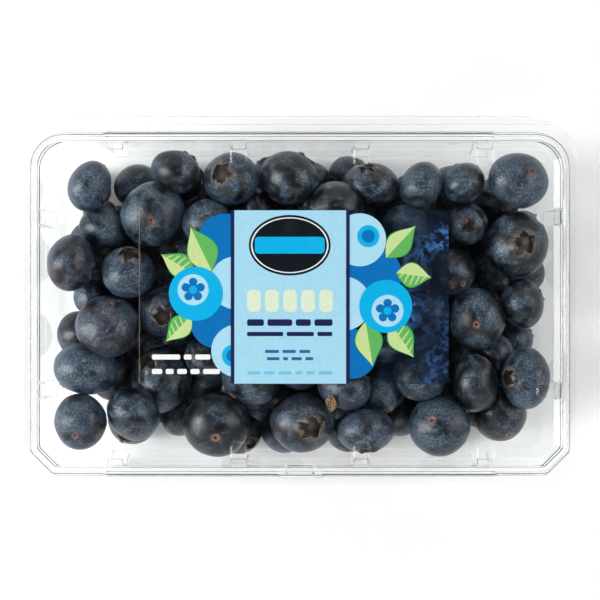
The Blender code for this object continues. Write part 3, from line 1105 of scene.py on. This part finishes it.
def laid_berries(rng):
    """The berries as they lie: those listed, then others that fill the room left over."""
    ceiling = PANEL_TOP - 1.1 * MM
    berries = []
    for x, y, half_x, half_y, drop, end, offset in UPPER_BERRIES:
        radius = (half_x + half_y) / 2
        z = max(ceiling - (radius + drop) * MM, (radius + 0.8) * MM)
        middle = Vector((x * MM, y * MM, z))
        lean = -0.15 if end == "star" else rng.choice((-0.14, 0.03, 0.07))
        way = crown_way(end, offset, radius, rng)
        size = 1.3 if end == "star" else 1.1
        berries.append(Berry(middle, Vector((half_x, half_y)) * MM, way, lean, True, size))
    for row, y in enumerate((23.5, 7.0, -9.5, -25.5)):
        for column in range(7):
            x = -42 + column * 17.6 + (8.8 if row % 2 else 0)
            half = rng.uniform(8.1, 9.6)
            z = ceiling - half * MM - rng.uniform(0, 2) * MM
            add_if_free(berries, (x, y), half, z, rng, 0.80, (-42, 50))
    for x, y, half in LOWER_SHOWN:
        middle = Vector((x * MM, y * MM, (half + 3.0) * MM))
        berries.append(Berry(middle, Vector((half, half)) * MM, any_way(rng), -0.12, True))
    upper_count = len(berries)
    for share, trials, reach in ((0.92, 5000, 84), (0.84, 4000, 84), (0.70, 3000, 70)):
        for _ in range(trials):
            half = rng.uniform(7.2, 9.6)
            place = (rng.uniform(-reach, reach), rng.uniform(-52, 50))
            z = rng.choice((half + 0.8, half + 0.8, rng.uniform(half + 0.8, 19.0))) * MM
            add_if_free(berries, place, half, z, rng, share, (-84, 84))
    settle(berries)
    lower_count = len(berries)
    # The core: closely pressed fruit near the floor, hidden by the rest.
    for _ in range(2500):
        half = rng.uniform(6.4, 7.6)
        place = (rng.uniform(-72, 72), rng.uniform(-38, 38))
        add_if_free(berries, place, half, (half + 0.9) * MM, rng, 0.46, (-72, 72))
    return berries, upper_count, lower_count


def add_if_free(berries, place, half, z, rng, share, reach):
    """Adds a free berry here unless it would sit mostly inside another one or in a gap."""
    x, y = place
    if not reach[0] <= x <= reach[1]:
        return
    middle = Vector((x * MM, y * MM, z))
    for other in berries:
        if (other.middle - middle).length < share * (other.radius + half * MM):
            return
    if z < 20 * MM and any(math.hypot(x - gx, y - gy) < half * 0.92 for gx, gy in GAPS):
        return
    if tray_room(x * MM, y * MM, z) < half * MM * 0.9:
        return
    size = Vector((half * rng.uniform(0.94, 1.04), half * rng.uniform(0.94, 1.04))) * MM
    berries.append(Berry(middle, size, any_way(rng), rng.choice((-0.14, -0.1, 0.05)), False))


def settle(berries, steps=260):
    """Pushes overlapping berries apart inside the tray and the lid. Placed ones only rise or sink."""
    places = np.array([berry.middle for berry in berries], float)
    radii = np.array([berry.radius for berry in berries]) * 0.97
    free = np.array([[0.0, 0.0, 1.0] if berry.placed else [1.0, 1.0, 1.0] for berry in berries])
    reach = radii[:, None] + radii[None, :]
    gaps = np.array(GAPS) * MM
    ceiling = PANEL_TOP - 0.9 * MM
    low = 0.6 * MM
    for _ in range(steps):
        gap = places[:, None, :] - places[None, :, :]
        distance = np.sqrt((gap**2).sum(2)) + np.eye(len(places))
        overlap = np.clip(reach - distance, 0, None) * (1 - np.eye(len(places)))
        push = (gap / distance[:, :, None] * overlap[:, :, None] * 0.35).sum(1)
        places += push * free
        for index, berry in enumerate(berries):
            x, y, z = places[index]
            if z < 18 * MM and not berry.placed:
                off = places[index, :2] - gaps
                near = np.sqrt((off**2).sum(1))
                closest = near.argmin()
                lack = radii[index] * 0.95 - near[closest]
                if lack > 0:
                    places[index, :2] += off[closest] / max(near[closest], 1e-5) * lack * 0.5
                places[index, 2] -= 0.04 * MM
            places[index, 2] = min(max(places[index, 2], low + radii[index]), ceiling - radii[index])
            lack = radii[index] + 0.4 * MM - tray_room(x, y, z)
            if lack > 0 and not berry.placed:
                pull = Vector((x, y - MIDDLE_Y)).normalized() * lack * 0.6
                places[index, 0] -= pull.x
                places[index, 1] -= pull.y
    for berry, place in zip(berries, places):
        berry.middle = Vector(place)


# The crown's outer edge, for a berry of radius 1.
CROWN_REACH = 0.44


def crown_profile(lobe, lean):
    """The crown as (radius, rise, dry mask, mask of painted shade in the hollow), for a berry of radius
    1.

    lobe is how much of a lobe stands here, and lean how far it leans out (or in, below 0).
    """
    return (
        (CROWN_REACH, 0.000, 0.0, 0.0),
        (0.390, 0.006, 0.0, 0.0),
        (0.362, 0.012 + 0.022 * lobe, 0.05, 0.0),
        (0.348 + 0.2 * lean * lobe, 0.012 + 0.052 * lobe, 0.25, 0.0),
        (0.338 + 0.6 * lean * lobe, 0.006 + 0.084 * lobe, 0.55, 0.0),
        (0.328 + 1.0 * lean * lobe, -0.002 + 0.100 * lobe, 0.95, 0.1),
        (0.314 + 0.9 * lean * lobe, -0.018 + 0.084 * lobe, 1.0, 0.5),
        (0.302 + 0.4 * lean * lobe, -0.050 + 0.030 * lobe, 1.0, 0.95),
        (0.280, -0.092, 1.0, 1.0),
        (0.238, -0.128, 1.0, 1.0),
        (0.150, -0.148, 1.0, 0.9),
        (0.060, -0.146, 1.0, 0.7),
    )


# The stem scar as (radius, sink, mask of painted shade in the hollow, scar mask).
SCAR_PROFILE = (
    (0.022, 0.060, 1.0, 0.0),
    (0.044, 0.036, 0.7, 0.4),
    (0.066, 0.018, 0.0, 1.0),
    (0.092, 0.008, 0.0, 1.0),
    (0.120, 0.000, 0.0, 0.45),
    (0.190, 0.004, 0.0, 0.0),
)


def crown_lobes(turns, lobe_turn, wear, seed):
    """How much of a lobe stands at each turn round the crown."""
    lobes = []
    for turn in turns:
        phase = (turn + lobe_turn) * 5 / (2 * math.pi)
        part = 1 - abs(2 * (phase % 1) - 1) ** 1.1
        ragged = 0.5 * noise.noise(seed + Vector((math.cos(turn) * 5, math.sin(turn) * 5, 9)))
        lobes.append(max(0.0, part * wear[int(phase) % 5] + ragged))
    return lobes


def berry_rings(berry, lobes, rows):
    """A berry of radius 1 as rings of (radius, height, crown, painted shade of the hollow, scar), from
    its stem scar up.
    """
    columns = len(lobes)
    scar_edge = math.asin(SCAR_PROFILE[-1][0])
    crown_edge = math.asin(CROWN_REACH * berry.crown_size)
    rings = []
    # The middle of the scar's pit gets the painted shade of the hollow.
    for radius, sink, hollow_shade, scar in SCAR_PROFILE:
        rings.append([(radius, sink - math.sqrt(1 - radius * radius), 0.0, hollow_shade, scar)] * columns)
    for step in range(1, rows):
        angle = scar_edge + (math.pi - crown_edge - scar_edge) * step / rows
        rings.append([(math.sin(angle), -math.cos(angle), 0.0, 0.0, 0.0)] * columns)
    profiles = [crown_profile(lobe, berry.lean) for lobe in lobes]
    for index in range(len(profiles[0])):
        ring = []
        for profile in profiles:
            radius, rise, crown, shaded_bowl = profile[index]
            radius *= berry.crown_size
            rise *= berry.crown_size
            ring.append((radius, math.sqrt(1 - radius * radius) + rise, crown, shaded_bowl, 0.0))
        rings.append(ring)
    return rings


def berry_fit(berry, points):
    """The scale that gives a berry its size, and the shift that keeps it between floor and lid."""
    wide = max(abs(point.x) for point in points)
    deep = max(abs(point.y) for point in points)
    tall = (berry.half.x / wide + berry.half.y / deep) / 2
    lowest = min(point.z for point in points) * tall
    highest = max(point.z for point in points) * tall
    room_above = (PANEL_TOP - 0.75 * MM) - (berry.middle.z + highest)
    room_below = (berry.middle.z + lowest) - 0.6 * MM
    shift = min(0.0, room_above) - min(0.0, room_below)
    return Vector((berry.half.x / wide, berry.half.y / deep, tall)), shift


def add_berry(bm, berry, rng, layers, columns, rows):
    """Adds one berry to the mesh: a lumpy flattened body, a ragged crown and a sunk stem scar."""
    flat = rng.uniform(0.84, 0.95)
    tint = rng.uniform(0.5, 1.0)
    blush = 0.8 * rng.random() ** 5
    cork = rng.random()
    lobe_turn = rng.uniform(0, math.pi)
    wear = [rng.uniform(0.55, 1.1) for _ in range(5)]
    seed = Vector((rng.uniform(-50, 50), rng.uniform(-50, 50), rng.uniform(-50, 50)))
    spin = Matrix.Rotation(rng.uniform(0, 2 * math.pi), 3, "Z")
    turn_up = berry.crown_way.to_track_quat("Z", "Y").to_matrix() @ spin
    turns = [2 * math.pi * step / columns for step in range(columns)]
    rows_made = []
    for ring in berry_rings(berry, crown_lobes(turns, lobe_turn, wear, seed), rows):
        made = []
        for turn, (radius, height, *masks) in zip(turns, ring):
            point = Vector((radius * math.cos(turn), radius * math.sin(turn), height * flat))
            lump = 1 + 0.042 * noise.noise(point * 1.2 + seed) + 0.010 * noise.noise(point * 3.6 + seed)
            made.append((turn_up @ (point * lump), masks))
        rows_made.append(made)
    poles = []
    # The two poles lie deepest in the stem scar and in the crown; their masks carry the painted shade of
    # the hollow.
    for height, masks in ((0.062 - 1, (0.0, 1.0, 0.0)), (1 - 0.136 * berry.crown_size, (1.0, 0.5, 0.0))):
        poles.append((turn_up @ Vector((0, 0, height * flat)), masks))
    size, shift = berry_fit(berry, [point for row in rows_made for point, _ in row])

    def vertex(data):
        point, masks = data
        place = Vector((point.x * size.x, point.y * size.y, point.z * size.z + shift)) + berry.middle
        vert = bm.verts.new(place)
        for layer, value in zip(layers, (tint, blush, cork, *masks)):
            vert[layer] = value
        return vert

    rows_of_verts = [[vertex(data) for data in row] for row in rows_made]
    stem, crown_middle = [vertex(data) for data in poles]
    join_rings(bm, rows_of_verts)
    for index in range(columns):
        after = (index + 1) % columns
        bm.faces.new((rows_of_verts[0][after], rows_of_verts[0][index], stem))
        bm.faces.new((rows_of_verts[-1][index], rows_of_verts[-1][after], crown_middle))


# The fifth mask darkens the hollows of crown and scar: painted shade.
ATTRIBUTES = ("tint", "blush", "cork", "crown", "shaded_bowl", "scar")


def berries_object(name, berries, rng, columns, rows, material):
    def build(bm):
        layers = [bm.verts.layers.float.new(attribute) for attribute in ATTRIBUTES]
        for berry in berries:
            add_berry(bm, berry, rng, layers, columns, rows)
        bmesh.ops.recalc_face_normals(bm, faces=bm.faces)

    heap = new_mesh(name, build)
    heap.data.materials.append(material)
    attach(heap, "tray")
    return heap


class PUNNET_OT_berries(bpy.types.Operator):
    """Lay out, settle and build every berry."""

    bl_idname = "punnet.berries"
    bl_label = "Berries"

    def execute(self, context):
        rng = random.Random(context.scene.punnet_fruit.seed)
        berries, upper_count, lower_count = laid_berries(rng)
        material = berry_material()
        shown = len(UPPER_BERRIES)
        for name, group, columns, rows in (
            ("berries_top", berries[:shown], 52, 19),
            ("berries_upper", berries[shown:upper_count], 40, 14),
            ("berries_lower", berries[upper_count:lower_count], 28, 11),
            ("berries_core", berries[lower_count:], 16, 7),
        ):
            heap = berries_object(name, group, rng, columns, rows, material)
            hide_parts("fruit")
            print(name, len(group), "berries,", 2 * len(heap.data.polygons), "triangles at most")
        dry_leaf(berries[:shown])
        return {"FINISHED"}


def top_of_heap(berries, x, y):
    """The berry that stands highest at this place, and how high it stands there."""
    found = (None, 0.0)
    for berry in berries:
        across = ((x - berry.middle.x) / berry.half.x) ** 2 + ((y - berry.middle.y) / berry.half.y) ** 2
        if across < 1:
            height = berry.middle.z + berry.radius * 0.92 * math.sqrt(1 - across)
            if height > found[1]:
                found = (berry, height)
    return found


def dry_leaf(berries):
    """A curled, dried calyx leaf that lies on the heap."""
    x, y = 11.0 * MM, -33.9 * MM
    berry, height = top_of_heap(berries, x, y)
    out = Vector((x, y, height)) - berry.middle
    turn = out.to_track_quat("Z", "Y").to_matrix() @ Matrix.Rotation(math.radians(28), 3, "Z")
    rows, columns = 11, 7

    def build(bm):
        sheets = []
        for lift in (0.0, 0.22 * MM):
            sheet = []
            for row in range(rows):
                along = -1 + 2 * row / (rows - 1)
                wide = 2.1 * MM * (1 - abs(along) ** 1.7) + 0.12 * MM
                line = []
                for column in range(columns):
                    side = -1 + 2 * column / (columns - 1)
                    curl = 0.55 * MM * side * side + 0.4 * MM * along * along
                    crease = 0.12 * MM * noise.noise(Vector((along * 3, side * 3, 4)))
                    point = Vector((side * wide, along * 3.9 * MM, 0.35 * MM + curl + crease + lift))
                    line.append(bm.verts.new(turn @ point + Vector((x, y, height))))
                sheet.append(line)
            sheets.append(sheet)
        under, over = sheets
        for row in range(rows - 1):
            for column in range(columns - 1):
                corners = ((row, column), (row, column + 1), (row + 1, column + 1), (row + 1, column))
                bm.faces.new([over[r][c] for r, c in corners])
                bm.faces.new([under[r][c] for r, c in reversed(corners)])
        rim = [(0, c) for c in range(columns)] + [(r, columns - 1) for r in range(1, rows)]
        rim += [(rows - 1, c) for c in range(columns - 2, -1, -1)]
        rim += [(r, 0) for r in range(rows - 2, 0, -1)]
        for (r0, c0), (r1, c1) in zip(rim, rim[1:] + rim[:1]):
            bm.faces.new((under[r0][c0], under[r1][c1], over[r1][c1], over[r0][c0]))
        bmesh.ops.recalc_face_normals(bm, faces=bm.faces)

    leaf = new_mesh("dry_leaf", build)
    material, tree, shader = new_material("dry_leaf")
    streaks = range_node(tree, noise_node(tree, object_place(tree), 1400.0, 3.0), 0.4, 0.6)
    mottled = mix_colour(tree, streaks, srgb(46, 32, 20), srgb(140, 112, 76))
    tree.links.new(mottled, shader.inputs["Base Color"])
    shader.inputs["Roughness"].default_value = 0.7
    leaf.data.materials.append(material)
    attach(leaf, "tray")
    return leaf


# ---------------------------------------------------------------------------------------------
# The stage


FLOOR_HALF = 1.3


def area_lamp(name, place, target, size, power):
    lamp = bpy.data.lights.new(name, "AREA")
    lamp.shape = "RECTANGLE"
    lamp.size, lamp.size_y = size
    lamp.energy = power
    obj = bpy.data.objects.new(name, lamp)
    obj.location = place
    way = Vector(target) - Vector(place)
    obj.rotation_euler = way.to_track_quat("-Z", "Y").to_euler()
    bpy.context.scene.collection.objects.link(obj)
    return obj


def studio_world(strength):
    """A white surround that is dark overhead, so that the flat lid mirrors nothing."""
    world = bpy.data.worlds.new("studio")
    world.use_nodes = True
    tree = world.node_tree
    tree.nodes["Background"].inputs["Color"].default_value = (1.0, 1.0, 1.0, 1.0)
    way = tree.nodes.new("ShaderNodeSeparateXYZ")
    tree.links.new(tree.nodes.new("ShaderNodeTexCoord").outputs["Generated"], way.inputs[0])
    bright = range_node(tree, way.outputs["Z"], 0.55, 0.90, strength, 0.02)
    tree.links.new(bright, tree.nodes["Background"].inputs["Strength"])
    return world


class PUNNET_OT_stage(bpy.types.Operator):
    """Build the floor, the lamps, the surroundings and the camera."""

    bl_idname = "punnet.stage"
    bl_label = "Stage"

    def execute(self, context):
        scene = context.scene
        settings = scene.punnet_stage
        scene.view_settings.view_transform = "Standard"

        def build(bm):
            bmesh.ops.create_grid(bm, x_segments=1, y_segments=1, size=FLOOR_HALF)

        floor = new_mesh("floor", build, smooth=False)
        floor.location.z = -0.2 * MM
        material, tree, shader = new_material("floor_paper")
        shader.inputs["Base Color"].default_value = settings.floor
        shader.inputs["Roughness"].default_value = 0.9
        floor.data.materials.append(material)

        scene.world = studio_world(settings.surround)
        middle = (0.0, 0.0, 0.02)
        area_lamp("key", (-1.0, -0.10, 0.54), middle, (0.5, 1.0), settings.key)
        area_lamp("fill_right", (1.0, 0.2, 0.85), middle, (0.8, 0.9), settings.fill * 2.3)
        area_lamp("fill_back", (0.0, 1.1, 0.85), middle, (1.2, 0.5), settings.fill)
        area_lamp("fill_front", (-0.1, -1.1, 0.85), middle, (1.2, 0.5), settings.fill)

        camera = bpy.data.cameras.new("camera")
        camera.lens = settings.lens
        camera.sensor_width = 36.0
        camera.clip_end = 20.0
        holder = bpy.data.objects.new("camera", camera)
        holder.location = (0.0, 0.0, FLANGE_TOP + settings.camera_height)
        scene.collection.objects.link(holder)
        scene.camera = holder
        return {"FINISHED"}


class PUNNET_PT_panel(bpy.types.Panel):
    """Lists the pieces of the punnet and their settings."""

    bl_label = "Blueberry Punnet"
    bl_idname = "PUNNET_PT_panel"
    bl_space_type = "VIEW_3D"
    bl_region_type = "UI"
    bl_category = "Punnet"

    def draw(self, context):
        layout = self.layout
        for operator in OPERATORS:
            layout.operator(operator.bl_idname)
        for name, group in SETTINGS:
            box = layout.box()
            for key in group.__annotations__:
                box.prop(getattr(context.scene, name), key)


OPERATORS = (
    PUNNET_OT_stage,
    PUNNET_OT_tray,
    PUNNET_OT_berries,
    PUNNET_OT_lid,
    PUNNET_OT_hinge,
    PUNNET_OT_label,
)
SETTINGS = (
    ("punnet_shell", PUNNET_PG_shell),
    ("punnet_fruit", PUNNET_PG_fruit),
    ("punnet_label", PUNNET_PG_label),
    ("punnet_stage", PUNNET_PG_stage),
)


def register():
    for name, group in SETTINGS:
        bpy.utils.register_class(group)
        setattr(bpy.types.Scene, name, bpy.props.PointerProperty(type=group))
    for operator in OPERATORS:
        bpy.utils.register_class(operator)
    bpy.utils.register_class(PUNNET_PT_panel)


def unregister():
    bpy.utils.unregister_class(PUNNET_PT_panel)
    for operator in reversed(OPERATORS):
        bpy.utils.unregister_class(operator)
    for name, group in reversed(SETTINGS):
        delattr(bpy.types.Scene, name)
        bpy.utils.unregister_class(group)


def main():
    register()
    for operator in OPERATORS:
        family, verb = operator.bl_idname.split(".")
        getattr(getattr(bpy.ops, family), verb)()


if __name__ == "__main__":
    main()
